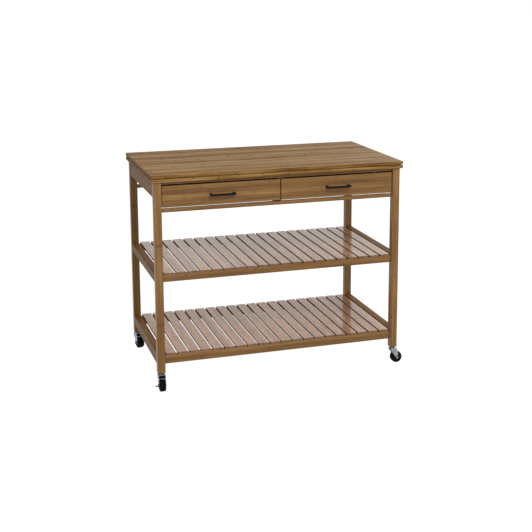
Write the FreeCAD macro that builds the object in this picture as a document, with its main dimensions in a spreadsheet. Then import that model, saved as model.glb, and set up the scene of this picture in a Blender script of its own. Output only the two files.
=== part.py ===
"""Rolling utility cart: bamboo frame, two drawers, two slatted shelves and four braked casters.

Millimetres. X runs along the long side, Y from the drawer side (-Y) to the back, Z up.
The origin lies on the floor under the middle of the worktop.
"""
import FreeCAD, Part
import os
import re

import Sketcher

Vector = FreeCAD.Vector

# ---------------------------------------------------------------- driving sizes (millimetres, degrees)
SIZES = {
    "overall_width": 1080,
    "overall_depth": 600,
    "overall_height": 900,
    # worktop: two boards with a groove between them
    "top_layer": 13,
    "top_groove": 4,
    "groove_depth": 9,
    "top_overhang": 10,
    "edge_round": 1.2,
    # legs, aprons and rails
    "leg_width": 32,
    "leg_depth": 28,
    "leg_round": 2,
    "caster_height": 75,
    "apron_height": 66,
    "apron_thick": 18,
    "apron_setback": 2,
    "rail_setback": 12,
    "rail_depth": 16,
    "upper_rail_height": 13,
    "lower_rail_height": 15,
    "drawer_bay_height": 98,
    "divider_thick": 18,
    # screws that hold the worktop down
    "screw_radius": 2,
    "screw_bite": 11,
    "screw_head_radius": 3.8,
    "screw_head_height": 2.5,
    "counterbore_radius": 5,
    "screw_spread": 420,
    "screw_clear": 0.1,
    # drawers
    "drawer_gap_top": 5,
    "drawer_gap_bottom": 6,
    "drawer_gap_side": 3,
    "drawer_gap_middle": 4,
    "drawer_front_thick": 15,
    "drawer_front_setback": 5,
    "drawer_rear_gap": 110,
    "drawer_box_lift": 5,
    "drawer_side_drop": 15,
    "drawer_side_thick": 12,
    "drawer_back_thick": 12,
    "drawer_side_gap": 4,
    "bottom_thick": 4,
    "bottom_lift": 6,
    "bottom_bite": 5,
    "joint_clear": 0.1,
    # wooden runners in grooves of the drawer sides
    "runner_height": 12,
    "runner_rear_gap": 78,
    "runner_start": 4,
    "runner_lift": 42,
    "runner_bite": 6,
    "runner_clear": 0.5,
    "runner_rest": 0.3,
    # handles
    "handle_pitch": 96,
    "handle_post": 8,
    "handle_bar": 7,
    "handle_height": 9,
    "handle_reach": 30,
    "handle_round": 3,
    "handle_thread_depth": 12,
    "handle_screw_radius": 2,
    "handle_screw_spare": 2,
    "handle_hole_clear": 0.2,
    "handle_screw_head": 4,
    "handle_screw_head_height": 2.4,
    # shelves
    "middle_shelf_top": 494,
    "lower_shelf_top": 155,
    "slat_count": 20,
    "slat_gap": 8,
    "slat_thick": 8,
    "slat_round": 0.8,
    "shelf_rail_depth": 20,
    "shelf_front_setback": 10,
    "shelf_back_setback": 20,
    "side_rail_inset": 2,
    "middle_shelf_rail_height": 29,
    "lower_shelf_rail_height": 36,
    # casters
    "stem_radius": 4,
    "stem_length": 32,
    "stem_clear": 0.05,
    "collar_radius": 12,
    "collar_height": 4,
    "neck_radius": 5,
    "rivet_radius": 8,
    "rivet_height": 2,
    "swivel_gap": 0.3,
    "running_clear": 0.05,
    "raceway_radius": 11,
    "raceway_height": 2,
    "sheet_thick": 1.8,
    "fork_nose": 12,
    "fork_tail": 18,
    "fork_round": 4,
    "fork_foot": 6.5,
    "trail": 18,
    "wheel_radius": 25,
    "wheel_width": 24,
    "hub_width": 27,
    "hub_radius": 8,
    "rim_radius": 19,
    "web_thick": 8,
    "tread_round": 4,
    "axle_radius": 3,
    "axle_head_radius": 4.6,
    "axle_head_height": 1.5,
    "lever_thick": 1.6,
    "lever_eye_radius": 7,
    "lever_reach": 12,
    "lever_tab_length": 16,
    "lever_tab_width": 10,
    "lever_rise": 3,
    "turn_front_left": -90,
    "turn_front_right": 0,
    "turn_back_left": -72,
    "turn_back_right": 78,
}

doc = FreeCAD.newDocument("rolling_utility_cart")
sheet = doc.addObject("Spreadsheet::Sheet", "Sizes")
for row, (alias, number) in enumerate(SIZES.items(), start=1):
    sheet.set(f"A{row}", str(number))
    sheet.setAlias(f"A{row}", alias)
doc.recompute()


# ---------------------------------------------------------------- sizes worked out from the sheet
TOP_THICK = "(2 * top_layer + top_groove)"
TOP_UNDER = f"(overall_height - {TOP_THICK})"
LEG_OUT_X = "(overall_width / 2 - top_overhang)"
LEG_OUT_Y = "(overall_depth / 2 - top_overhang)"
LEG_IN_X = f"({LEG_OUT_X} - leg_width)"
LEG_IN_Y = f"({LEG_OUT_Y} - leg_depth)"
APRON_OUT = f"({LEG_OUT_X} - apron_setback)"
APRON_IN = f"({APRON_OUT} - apron_thick)"
BACK_APRON_OUT = f"({LEG_OUT_Y} - rail_setback)"
BACK_APRON_IN = f"({BACK_APRON_OUT} - apron_thick)"
RAIL_OUT = f"({LEG_OUT_Y} - rail_setback)"
RAIL_IN = f"({RAIL_OUT} - rail_depth)"
UPPER_RAIL_UNDER = f"({TOP_UNDER} - upper_rail_height)"
LOWER_RAIL_TOP = f"({UPPER_RAIL_UNDER} - drawer_bay_height)"
LOWER_RAIL_UNDER = f"({LOWER_RAIL_TOP} - lower_rail_height)"
DIVIDER_FACE = "(divider_thick / 2)"

FRONT_FACE = f"({LEG_OUT_Y} - drawer_front_setback)"
FRONT_REAR = f"({FRONT_FACE} - drawer_front_thick)"
FRONT_UNDER = f"({LOWER_RAIL_TOP} + drawer_gap_bottom)"
FRONT_HEIGHT = "(drawer_bay_height - drawer_gap_top - drawer_gap_bottom)"
FRONT_NEAR = "(drawer_gap_middle / 2)"
FRONT_FAR = f"({LEG_IN_X} - drawer_gap_side)"
FRONT_WIDTH = f"({FRONT_FAR} - {FRONT_NEAR})"
FRONT_MIDDLE = f"(({FRONT_FAR} + {FRONT_NEAR}) / 2)"
BOX_NEAR = f"({DIVIDER_FACE} + drawer_side_gap)"
BOX_FAR = f"({LEG_IN_X} - drawer_side_gap)"
BOX_UNDER = f"({FRONT_UNDER} + drawer_box_lift)"
BOX_LENGTH = f"({FRONT_REAR} + {BACK_APRON_IN} - drawer_rear_gap)"
SIDE_HEIGHT = "(drawer_bay_height - drawer_gap_bottom - drawer_box_lift - drawer_side_drop)"
INSIDE_NEAR = f"({BOX_NEAR} + drawer_side_thick)"
INSIDE_FAR = f"({BOX_FAR} - drawer_side_thick)"
INSIDE_WIDTH = f"({INSIDE_FAR} - {INSIDE_NEAR})"
BOTTOM_UNDER = f"({BOX_UNDER} + bottom_lift)"
BACK_UNDER_LIFT = "(bottom_lift + bottom_thick + joint_clear)"
RUNNER_UNDER = f"({BOX_UNDER} + runner_lift)"
RUNNER_FRONT = f"({LEG_IN_Y} - runner_start)"
RUNNER_GROOVE_HEIGHT = "(runner_height + runner_rest + runner_clear)"
RUNNER_LENGTH = f"({RUNNER_FRONT} + {BACK_APRON_IN} - runner_rear_gap)"
RUNNER_GROOVE_LENGTH = f"({BOX_LENGTH} - ({FRONT_REAR} - {RUNNER_FRONT}) + runner_clear)"

SIDE_RAIL_WIDTH = "(leg_width - side_rail_inset)"
SLAT_SPAN = f"(2 * ({LEG_OUT_X} - {SIDE_RAIL_WIDTH}))"
SLAT_WIDTH = f"(({SLAT_SPAN} - (slat_count + 1) * slat_gap) / slat_count)"
SLAT_PITCH = f"({SLAT_WIDTH} + slat_gap)"
SHELF_FRONT = f"({LEG_OUT_Y} - shelf_front_setback)"
SHELF_BACK = f"({LEG_OUT_Y} - shelf_back_setback)"

LEG_CENTRE_X = f"({LEG_OUT_X} - leg_width / 2)"
LEG_CENTRE_Y = f"({LEG_OUT_Y} - leg_depth / 2)"
FORK_TOP = "(caster_height - collar_height - swivel_gap)"
HOOD_TOP = f"({FORK_TOP} - raceway_height)"
HOOD_UNDER = f"({HOOD_TOP} - sheet_thick)"
RIVET_TOP = f"({HOOD_UNDER} - swivel_gap)"
FORK_INSIDE = "(hub_width + 2 * swivel_gap)"
FORK_OUTSIDE = f"({FORK_INSIDE} + 2 * sheet_thick)"
LEVER_FACE = f"({FORK_OUTSIDE} / 2 + swivel_gap)"


def bind(text):
    """Put the sheet's name in front of every alias in an expression."""
    return re.sub(r"\b(" + "|".join(SIZES) + r")\b", r"Sizes.\1", str(text))


def amount(text):
    """The present value of an expression."""
    return float(sheet.evalExpression(bind(text)))


# ---------------------------------------------------------------- building blocks
def new_body(label, place=("0", "0", "0"), turn=None):
    body = doc.addObject("PartDesign::Body", label)
    body.Label = label
    if turn is not None:
        body.Placement = FreeCAD.Placement(Vector(), FreeCAD.Rotation(Vector(0, 0, 1), amount(turn)))
        body.setExpression("Placement.Rotation.Angle", bind(turn))
    for axis, text in zip("xyz", place):
        body.setExpression(f"Placement.Base.{axis}", bind(text))
    return body


def new_sketch(body, role, offset=("0", "0", "0")):
    """A sketch on one of the body's own origin planes, moved by offset in the plane's own axes."""
    origin_plane = next(item for item in body.Origin.OriginFeatures if item.Role == role)
    sketch = body.newObject("Sketcher::SketchObject", f"{body.Label}_sketch")
    sketch.AttachmentSupport = (origin_plane, [""])
    sketch.MapMode = "FlatFace"
    for axis, text in zip("xyz", offset):
        sketch.setExpression(f"AttachmentOffset.Base.{axis}", bind(text))
    return sketch


def pin_point(sketch, index, corner, texts):
    """Tie one end of a sketch element to a place measured from the sketch's origin."""
    for kind, text in zip(("DistanceX", "DistanceY"), texts):
        constraint = Sketcher.Constraint(kind, -1, 1, index, corner, amount(text))
        number = sketch.addConstraint(constraint)
        sketch.setExpression(f"Constraints[{number}]", bind(text))


def draw_outline(sketch, corners):
    """A closed outline of straight lines through the given corners."""
    points = [Vector(amount(across), amount(up), 0) for across, up in corners]
    first = sketch.GeometryCount
    for start, end in zip(points, points[1:] + points[:1]):
        sketch.addGeometry(Part.LineSegment(start, end), False)
    for step in range(len(points)):
        following = (step + 1) % len(points)
        sketch.addConstraint(Sketcher.Constraint("Coincident", first + step, 2, first + following, 1))
        pin_point(sketch, first + step, 1, corners[step])
    return sketch


def draw_box(sketch, low, high):
    corners = [(low[0], low[1]), (high[0], low[1]), (high[0], high[1]), (low[0], high[1])]
    return draw_outline(sketch, corners)


def draw_circle(sketch, centre, radius):
    middle = Vector(amount(centre[0]), amount(centre[1]), 0)
    index = sketch.addGeometry(Part.Circle(middle, Vector(0, 0, 1), amount(radius)), False)
    number = sketch.addConstraint(Sketcher.Constraint("Radius", index, amount(radius)))
    sketch.setExpression(f"Constraints[{number}]", bind(radius))
    pin_point(sketch, index, 3, centre)
    return sketch


def add_pad(body, sketch, length, symmetric=False, reverse=False):
    pad = body.newObject("PartDesign::Pad", f"{body.Label}_pad")
    pad.Profile = sketch
    pad.setExpression("Length", bind(length))
    pad.SideType = "Symmetric" if symmetric else "One side"
    pad.Reversed = reverse
    doc.recompute()
    return pad


def add_pocket(body, sketch, length, symmetric=False, reverse=False):
    """Cut a sketch into the body, and make sure that something was really cut away."""
    before = body.Tip.Shape.Volume
    pocket = body.newObject("PartDesign::Pocket", f"{body.Label}_pocket")
    pocket.Profile = sketch
    pocket.setExpression("Length", bind(length))
    pocket.SideType = "Symmetric" if symmetric else "One side"
    pocket.Reversed = reverse
    doc.recompute()
    if pocket.Shape.Volume >= before - 1e-6:
        raise RuntimeError(f"{body.Label}: a pocket cuts nothing")
    return pocket


def add_revolution(body, sketch):
    turned = body.newObject("PartDesign::Revolution", f"{body.Label}_revolution")
    turned.Profile = sketch
    turned.ReferenceAxis = (sketch, ["V_Axis"])
    turned.Angle = 360
    doc.recompute()
    return turned


def round_edges(body, radius, wanted):
    """Fillet the edges of the body's last feature that wanted(edge) picks out."""
    base = body.Tip
    names = [f"Edge{number}" for number, edge in enumerate(base.Shape.Edges, start=1) if wanted(edge)]
    fillet = body.newObject("PartDesign::Fillet", f"{body.Label}_fillet")
    fillet.Base = (base, names)
    fillet.Radius = amount(radius)
    fillet.setExpression("Radius", bind(radius))
    doc.recompute()
    return fillet


def along(axis):
    """Pick the straight edges that run along one axis."""
    def wanted(edge):
        straight = edge.Curve.TypeId == "Part::GeomLine"
        return straight and abs(edge.tangentAt(edge.FirstParameter)[axis]) > 0.999
    return wanted


def every_edge(edge):
    return True


def board(label, size, place, radius="edge_round", wanted=every_edge):
    """A rectangular board with rounded edges; place is its low corner."""
    body = new_body(label, place)
    add_pad(body, draw_box(new_sketch(body, "XY_Plane"), ("0", "0"), size[:2]), size[2])
    round_edges(body, radius, wanted)
    return body


def drill(body, role, centres, radius, depth, offset="0", reverse=False):
    """Round holes of one size, square to an origin plane, starting at offset from it."""
    sketch = new_sketch(body, role, ("0", "0", offset))
    for centre in centres:
        draw_circle(sketch, centre, radius)
    return add_pocket(body, sketch, depth, reverse=reverse)


def screw_group(label, centres, profile, place=("0", "0", "0"), role="XZ_Plane"):
    """Several equal turned screws in one node: profile lists (radius, station) corners."""
    screws = []
    for number, centre in enumerate(centres, start=1):
        body = new_body(f"{label}_{number}", [f"({base}) + ({shift})" for base, shift in zip(place, centre)])
        add_revolution(body, draw_outline(new_sketch(body, role), profile))
        screws.append(body)
    group = doc.addObject("Part::Compound", label)
    group.Label = label
    group.Links = screws
    return group


nodes = []


def keep(*parts):
    """Put finished sub-parts on the list that is checked and written."""
    nodes.extend(parts)


# ---------------------------------------------------------------- worktop
def make_top():
    corner = ("-overall_width / 2", "-overall_depth / 2")
    plan = ("overall_width", "overall_depth")
    upper = board("top_upper_board", plan + ("top_layer",), corner + ("overall_height - top_layer",))
    lower = new_body("top_lower_board", corner + (TOP_UNDER,))
    add_pad(lower, draw_box(new_sketch(lower, "XY_Plane"), ("0", "0"), plan), "top_layer")
    round_edges(lower, "edge_round", every_edge)
    core = new_sketch(lower, "XY_Plane", ("0", "0", "top_layer / 2"))
    low = ("groove_depth", "groove_depth")
    high = ("overall_width - groove_depth", "overall_depth - groove_depth")
    add_pad(lower, draw_box(core, low, high), "top_layer / 2 + top_groove")
    drill(lower, "XY_Plane", top_screw_centres("overall_width / 2", "overall_depth / 2"),
          "screw_radius", "screw_bite", reverse=True)
    keep(upper, lower)


def top_screw_centres(zero_x="0", zero_y="0"):
    """Three screws along the front upper rail and three along the back apron."""
    front = f"({zero_y}) - ({RAIL_OUT} - rail_depth / 2)"
    back = f"({zero_y}) + ({BACK_APRON_OUT} - apron_thick / 2)"
    columns = [f"({zero_x}) + ({share}) * screw_spread" for share in (-1, 0, 1)]
    return [(column, line) for line in (front, back) for column in columns]


def make_top_screws():
    """Pan-head screws that come up through the front rail and the back apron into the worktop."""
    slim = "(screw_radius - screw_clear)"
    tip = "(upper_rail_height + screw_bite - screw_clear)"
    profile = [("0", "-screw_head_height"), ("screw_head_radius", "-screw_head_height"),
               ("screw_head_radius", "0"), (slim, "0"), (slim, tip), ("0", tip)]
    centres = [centre + ("0",) for centre in top_screw_centres()]
    keep(screw_group("top_screws", centres, profile, ("0", "0", UPPER_RAIL_UNDER)))


# ---------------------------------------------------------------- legs, aprons and rails
def make_legs():
    for depth_name, low_y in (("front", f"-{LEG_OUT_Y}"), ("back", LEG_IN_Y)):
        for side_name, low_x in (("left", f"-{LEG_OUT_X}"), ("right", LEG_IN_X)):
            size = ("leg_width", "leg_depth", f"{TOP_UNDER} - caster_height")
            place = (low_x, low_y, "caster_height")
            leg = board(f"leg_{depth_name}_{side_name}", size, place, "leg_round", along(2))
            drill(leg, "XY_Plane", [("leg_width / 2", "leg_depth / 2")],
                  "stem_radius + stem_clear", "stem_length + stem_clear", reverse=True)
            keep(leg)


def make_aprons():
    size = ("apron_thick", f"2 * {LEG_IN_Y}", "apron_height")
    low_z = f"{TOP_UNDER} - apron_height"
    keep(board("apron_left", size, (f"-{APRON_OUT}", f"-{LEG_IN_Y}", low_z), wanted=along(1)))
    keep(board("apron_right", size, (APRON_IN, f"-{LEG_IN_Y}", low_z), wanted=along(1)))
    size = (f"2 * {LEG_IN_X}", "apron_thick", "apron_height")
    back = board("apron_back", size, (f"-{LEG_IN_X}", BACK_APRON_IN, low_z), wanted=along(0))
    columns = [f"{LEG_IN_X} + ({share}) * screw_spread" for share in (-1, 0, 1)]
    centres = [(column, "apron_thick / 2") for column in columns]
    drill(back, "XY_Plane", centres, "counterbore_radius", "apron_height - upper_rail_height", reverse=True)
    drill(back, "XY_Plane", centres, "screw_radius", "apron_height", reverse=True)
    keep(back)


def make_drawer_bay():
    long_size = f"2 * {LEG_IN_X}"
    upper = board("rail_front_upper", (long_size, "rail_depth", "upper_rail_height"),
                  (f"-{LEG_IN_X}", f"-{RAIL_OUT}", UPPER_RAIL_UNDER), wanted=along(0))
    columns = [f"{LEG_IN_X} + ({share}) * screw_spread" for share in (-1, 0, 1)]
    centres = [(column, "rail_depth / 2") for column in columns]
    drill(upper, "XY_Plane", centres, "screw_radius", "upper_rail_height", reverse=True)
    size = (long_size, "rail_depth", "lower_rail_height")
    front = board("rail_front_lower", size,
                  (f"-{LEG_IN_X}", f"-{RAIL_OUT}", LOWER_RAIL_UNDER), wanted=along(0))
    back = board("rail_back_lower", size, (f"-{LEG_IN_X}", RAIL_IN, LOWER_RAIL_UNDER), wanted=along(0))
    divider = board("drawer_divider",
                    ("divider_thick", f"{RAIL_IN} + {BACK_APRON_IN}", f"{TOP_UNDER} - {LOWER_RAIL_UNDER}"),
                    (f"-{DIVIDER_FACE}", f"-{RAIL_IN}", LOWER_RAIL_UNDER), wanted=along(1))
    keep(upper, front, back, divider)


def make_runners():
    """Four wooden runners: one on each side apron and one on each face of the divider."""
    reach = "runner_bite - runner_clear"
    apron_runner = f"{APRON_IN} - {BOX_FAR} + {reach}"
    divider_runner = f"drawer_side_gap + {reach}"
    lows = {"left_outer": (f"-{APRON_IN}", apron_runner),
            "left_inner": (f"-({DIVIDER_FACE} + {divider_runner})", divider_runner),
            "right_inner": (DIVIDER_FACE, divider_runner),
            "right_outer": (f"{APRON_IN} - ({apron_runner})", apron_runner)}
    runners = []
    for name, (low_x, width) in lows.items():
        runner = doc.addObject("Part::Box", f"runner_{name}")
        sizes = {"Length": width, "Width": RUNNER_LENGTH, "Height": "runner_height",
                 "Placement.Base.x": low_x, "Placement.Base.y": f"-{RUNNER_FRONT}",
                 "Placement.Base.z": RUNNER_UNDER}
        for field, text in sizes.items():
            runner.setExpression(field, bind(text))
        runners.append(runner)
    group = doc.addObject("Part::Compound", "drawer_runners")
    group.Label = "drawer_runners"
    group.Links = runners
    keep(group)


# ---------------------------------------------------------------- drawers
def make_drawer_front(name, low_x):
    size = (FRONT_WIDTH, "drawer_front_thick", FRONT_HEIGHT)
    front = board(f"drawer_{name}_front", size, (low_x, f"-{FRONT_FACE}", FRONT_UNDER))
    columns = [f"{FRONT_WIDTH} / 2 + ({share}) * handle_pitch" for share in (-0.5, 0.5)]
    holes = [(column, f"{FRONT_HEIGHT} / 2") for column in columns]
    drill(front, "XZ_Plane", holes, "handle_screw_radius + handle_hole_clear", "drawer_front_thick")
    groove = new_sketch(front, "XY_Plane", ("0", "0", "drawer_box_lift + bottom_lift - joint_clear"))
    margin_low = f"{INSIDE_NEAR} - {FRONT_NEAR} - bottom_bite"
    margin_high = f"{FRONT_FAR} - {INSIDE_FAR} - bottom_bite"
    margins = (margin_high, margin_low) if name == "left" else (margin_low, margin_high)
    draw_box(groove, (margins[0], "drawer_front_thick - bottom_bite"),
             (f"{FRONT_WIDTH} - ({margins[1]})", "drawer_front_thick"))
    add_pocket(front, groove, "bottom_thick + 2 * joint_clear", reverse=True)
    return front


def make_drawer_side(label, low_x, outer_is_low):
    """One side board, grooved outside for the runner and inside for the bottom panel."""
    side = board(label, ("drawer_side_thick", BOX_LENGTH, SIDE_HEIGHT),
                 (low_x, f"-{FRONT_REAR}", BOX_UNDER), wanted=along(1))
    outer = ("0", "runner_bite") if outer_is_low else ("drawer_side_thick - runner_bite", "drawer_side_thick")
    inner = ("drawer_side_thick - bottom_bite", "drawer_side_thick") if outer_is_low else ("0", "bottom_bite")
    runner = new_sketch(side, "XY_Plane", ("0", "0", "runner_lift - runner_clear"))
    draw_box(runner, (outer[0], f"{BOX_LENGTH} - {RUNNER_GROOVE_LENGTH}"), (outer[1], BOX_LENGTH))
    add_pocket(side, runner, RUNNER_GROOVE_HEIGHT, reverse=True)
    panel = new_sketch(side, "XY_Plane", ("0", "0", "bottom_lift - joint_clear"))
    draw_box(panel, (inner[0], "0"), (inner[1], BOX_LENGTH))
    add_pocket(side, panel, "bottom_thick + 2 * joint_clear", reverse=True)
    return side


def make_handle(name, centre_x):
    """A D-shaped bar pull: two square posts and a bar, seen from above, pushed up by its height."""
    place = (centre_x, f"-{FRONT_FACE}", f"{FRONT_UNDER} + {FRONT_HEIGHT} / 2")
    handle = new_body(f"drawer_{name}_handle", place)
    end = "(handle_pitch / 2 + handle_post / 2)"
    post = "(handle_pitch / 2 - handle_post / 2)"
    back_of_bar = "-(handle_reach - handle_bar)"
    corners = [(f"-{end}", "0"), (f"-{end}", "-handle_reach"), (end, "-handle_reach"), (end, "0"),
               (post, "0"), (post, back_of_bar), (f"-{post}", back_of_bar), (f"-{post}", "0")]
    add_pad(handle, draw_outline(new_sketch(handle, "XY_Plane"), corners), "handle_height", symmetric=True)
    bar_front = -amount("handle_reach")

    def outer_corner(edge):
        return along(2)(edge) and abs(edge.CenterOfMass.y - bar_front) < 1e-6

    def bar_or_post(edge):
        return not along(2)(edge) and edge.BoundBox.YMin < -1e-6

    round_edges(handle, "handle_round", outer_corner)
    round_edges(handle, "edge_round", bar_or_post)
    holes = [("-handle_pitch / 2", "0"), ("handle_pitch / 2", "0")]
    drill(handle, "XZ_Plane", holes, "handle_screw_radius", "handle_thread_depth", reverse=True)
    return handle


def make_handle_screws(name, centre_x):
    """Two machine screws from inside the drawer, through its front and into the handle's posts."""
    slim = "(handle_screw_radius - running_clear)"
    tip = "-(drawer_front_thick + handle_thread_depth - handle_screw_spare)"
    profile = [("0", "handle_screw_head_height"), ("handle_screw_head", "handle_screw_head_height"),
               ("handle_screw_head", "0"), (slim, "0"), (slim, tip), ("0", tip)]
    place = (centre_x, f"-{FRONT_REAR}", f"{FRONT_UNDER} + {FRONT_HEIGHT} / 2")
    centres = [("-handle_pitch / 2", "0", "0"), ("handle_pitch / 2", "0", "0")]
    return screw_group(f"drawer_{name}_handle_screws", centres, profile, place, "XY_Plane")


def make_drawer(name):
    left = name == "left"
    front = make_drawer_front(name, f"-{FRONT_FAR}" if left else FRONT_NEAR)
    outer_low = f"-{BOX_FAR}" if left else f"{BOX_FAR} - drawer_side_thick"
    inner_low = f"-{INSIDE_NEAR}" if left else BOX_NEAR
    outer_side = make_drawer_side(f"drawer_{name}_outer_side", outer_low, left)
    inner_side = make_drawer_side(f"drawer_{name}_inner_side", inner_low, not left)
    inside_low = f"-{INSIDE_FAR}" if left else INSIDE_NEAR
    back = board(f"drawer_{name}_back",
                 (INSIDE_WIDTH, "drawer_back_thick", f"{SIDE_HEIGHT} - {BACK_UNDER_LIFT}"),
                 (inside_low, f"-{FRONT_REAR} + {BOX_LENGTH} - drawer_back_thick",
                  f"{BOX_UNDER} + {BACK_UNDER_LIFT}"), wanted=along(0))
    slack = "(bottom_bite - joint_clear)"
    bottom = new_body(f"drawer_{name}_bottom",
                      (f"{inside_low} - {slack}", f"-{FRONT_REAR} - {slack}", BOTTOM_UNDER))
    add_pad(bottom, draw_box(new_sketch(bottom, "XY_Plane"), ("0", "0"),
                             (f"{INSIDE_WIDTH} + 2 * {slack}", f"{BOX_LENGTH} + {slack}")), "bottom_thick")
    centre_x = f"-{FRONT_MIDDLE}" if left else FRONT_MIDDLE
    keep(front, outer_side, inner_side, back, bottom)
    keep(make_handle(name, centre_x), make_handle_screws(name, centre_x))


# ---------------------------------------------------------------- slatted shelves
def make_slats(name, top):
    """A row of equal slats that run from the front rail to the back rail."""
    first = f"-{SLAT_SPAN} / 2 + slat_gap"
    slats = new_body(f"shelf_{name}_slats", (first, f"-{SHELF_FRONT}", f"{top} - slat_thick"))
    sketch = draw_box(new_sketch(slats, "XZ_Plane"), ("0", "0"), (SLAT_WIDTH, "slat_thick"))
    add_pad(slats, sketch, f"{SHELF_FRONT} + {SHELF_BACK}", reverse=True)
    top_face = amount("slat_thick")

    def upper_edge(edge):
        return abs(edge.BoundBox.ZMin - top_face) < 1e-6

    fillet = round_edges(slats, "slat_round", upper_edge)
    row = slats.newObject("PartDesign::LinearPattern", f"shelf_{name}_row")
    row.Originals = [fillet.BaseFeature, fillet]
    row.Direction = (sketch, ["H_Axis"])
    row.setExpression("Length", bind(f"(slat_count - 1) * {SLAT_PITCH}"))
    row.setExpression("Occurrences", bind("slat_count"))
    slats.Tip = row
    return slats


def make_shelf(name, top, rail_height):
    under_slats = f"({top} - slat_thick)"
    long_size = f"2 * {LEG_IN_X}"
    size = (long_size, "shelf_rail_depth", rail_height)
    low_z = f"{under_slats} - {rail_height}"
    front = board(f"shelf_{name}_front_rail", size,
                  (f"-{LEG_IN_X}", f"-{SHELF_FRONT}", low_z), wanted=along(0))
    back = board(f"shelf_{name}_back_rail", size,
                 (f"-{LEG_IN_X}", f"{SHELF_BACK} - shelf_rail_depth", low_z), wanted=along(0))
    size = (SIDE_RAIL_WIDTH, f"2 * {LEG_IN_Y}", f"{rail_height} + slat_thick")
    left = board(f"shelf_{name}_left_rail", size, (f"-{LEG_OUT_X}", f"-{LEG_IN_Y}", low_z), wanted=along(1))
    right = board(f"shelf_{name}_right_rail", size,
                  (f"{LEG_OUT_X} - {SIDE_RAIL_WIDTH}", f"-{LEG_IN_Y}", low_z), wanted=along(1))
    keep(front, back, left, right, make_slats(name, top))


# ---------------------------------------------------------------- casters
def make_caster_mount(name, place, turn):
    """Stem, collar, swivel neck and riveted end, turned about the swivel axis."""
    mount = new_body(f"caster_{name}_mount", place, turn)
    rivet_low = f"{RIVET_TOP} - rivet_height"
    collar_low = "caster_height - collar_height"
    stem_top = "caster_height + stem_length"
    profile = [("0", rivet_low), ("rivet_radius", rivet_low), ("rivet_radius", RIVET_TOP),
               ("neck_radius", RIVET_TOP), ("neck_radius", collar_low), ("collar_radius", collar_low),
               ("collar_radius", "caster_height"), ("stem_radius", "caster_height"),
               ("stem_radius", stem_top), ("0", stem_top)]
    add_revolution(mount, draw_outline(new_sketch(mount, "XZ_Plane"), profile))
    return mount


def make_caster_fork(name, place, turn):
    """Pressed fork: a hood with a raceway on top and two cheeks that taper down to the axle."""
    fork = new_body(f"caster_{name}_fork", place, turn)
    foot = "fork_foot"
    cheek = [("-fork_nose", HOOD_TOP), ("-fork_nose", f"{HOOD_UNDER} - fork_foot"),
             (f"trail - {foot}", f"wheel_radius - {foot} / 2"),
             (f"trail - {foot} / 2", f"wheel_radius - {foot}"),
             (f"trail + {foot} / 2", f"wheel_radius - {foot}"),
             (f"trail + {foot}", f"wheel_radius - {foot} / 2"),
             (f"trail + {foot}", f"wheel_radius + {foot}"), ("fork_tail", f"{HOOD_UNDER} - fork_foot"),
             ("fork_tail", HOOD_TOP)]
    add_pad(fork, draw_outline(new_sketch(fork, "XZ_Plane"), cheek), FORK_OUTSIDE, symmetric=True)
    top = amount(HOOD_TOP)

    def hood_shoulder(edge):
        return along(0)(edge) and abs(edge.CenterOfMass.z - top) < 1e-6

    round_edges(fork, "fork_round", hood_shoulder)
    tunnel = new_sketch(fork, "YZ_Plane")
    draw_box(tunnel, (f"-{FORK_INSIDE} / 2", "0"), (f"{FORK_INSIDE} / 2", HOOD_UNDER))
    add_pocket(fork, tunnel, "2 * (fork_nose + trail + 2 * fork_foot)", symmetric=True)
    raceway = draw_circle(new_sketch(fork, "XY_Plane", ("0", "0", HOOD_UNDER)), ("0", "0"), "raceway_radius")
    add_pad(fork, raceway, "sheet_thick + raceway_height")
    drill(fork, "XY_Plane", [("0", "0")], "neck_radius + running_clear",
          "sheet_thick + raceway_height", HOOD_UNDER, reverse=True)
    bore = draw_circle(new_sketch(fork, "XZ_Plane"), ("trail", "wheel_radius"), "axle_radius + running_clear")
    add_pocket(fork, bore, f"2 * {FORK_OUTSIDE}", symmetric=True)
    return fork


def make_caster_wheel(name, place, turn):
    """Wheel with a wide hub, a thin web and a thick rounded tread, turned about its axle."""
    wheel = new_body(f"caster_{name}_wheel", place, turn)
    sketch = new_sketch(wheel, "XY_Plane", ("trail", "0", "wheel_radius"))
    bore = "axle_radius + running_clear"
    half = [(bore, "hub_width / 2"), ("hub_radius", "hub_width / 2"), ("hub_radius + 1", "web_thick / 2"),
            ("rim_radius - 1", "web_thick / 2"), ("rim_radius", "wheel_width / 2"),
            ("wheel_radius - tread_round", "wheel_width / 2"),
            ("wheel_radius", "wheel_width / 2 - tread_round")]
    mirrored = [(radius, f"-({station})") for radius, station in reversed(half)]
    add_revolution(wheel, draw_outline(sketch, half + mirrored))
    return wheel


def make_caster_axle(name, place, turn):
    """Headed axle pin through both cheeks, the wheel and the brake lever."""
    axle = new_body(f"caster_{name}_axle", place, turn)
    sketch = new_sketch(axle, "XY_Plane", ("trail", "0", "wheel_radius"))
    lever_end = f"-({LEVER_FACE} + lever_thick + swivel_gap)"
    far_end = f"({FORK_OUTSIDE} / 2)"
    profile = [("0", f"{lever_end} - axle_head_height"),
               ("axle_head_radius", f"{lever_end} - axle_head_height"),
               ("axle_head_radius", lever_end), ("axle_radius", lever_end), ("axle_radius", far_end),
               ("axle_head_radius", far_end), ("axle_head_radius", f"{far_end} + axle_head_height"),
               ("0", f"{far_end} + axle_head_height")]
    add_revolution(axle, draw_outline(sketch, profile))
    return axle


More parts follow.
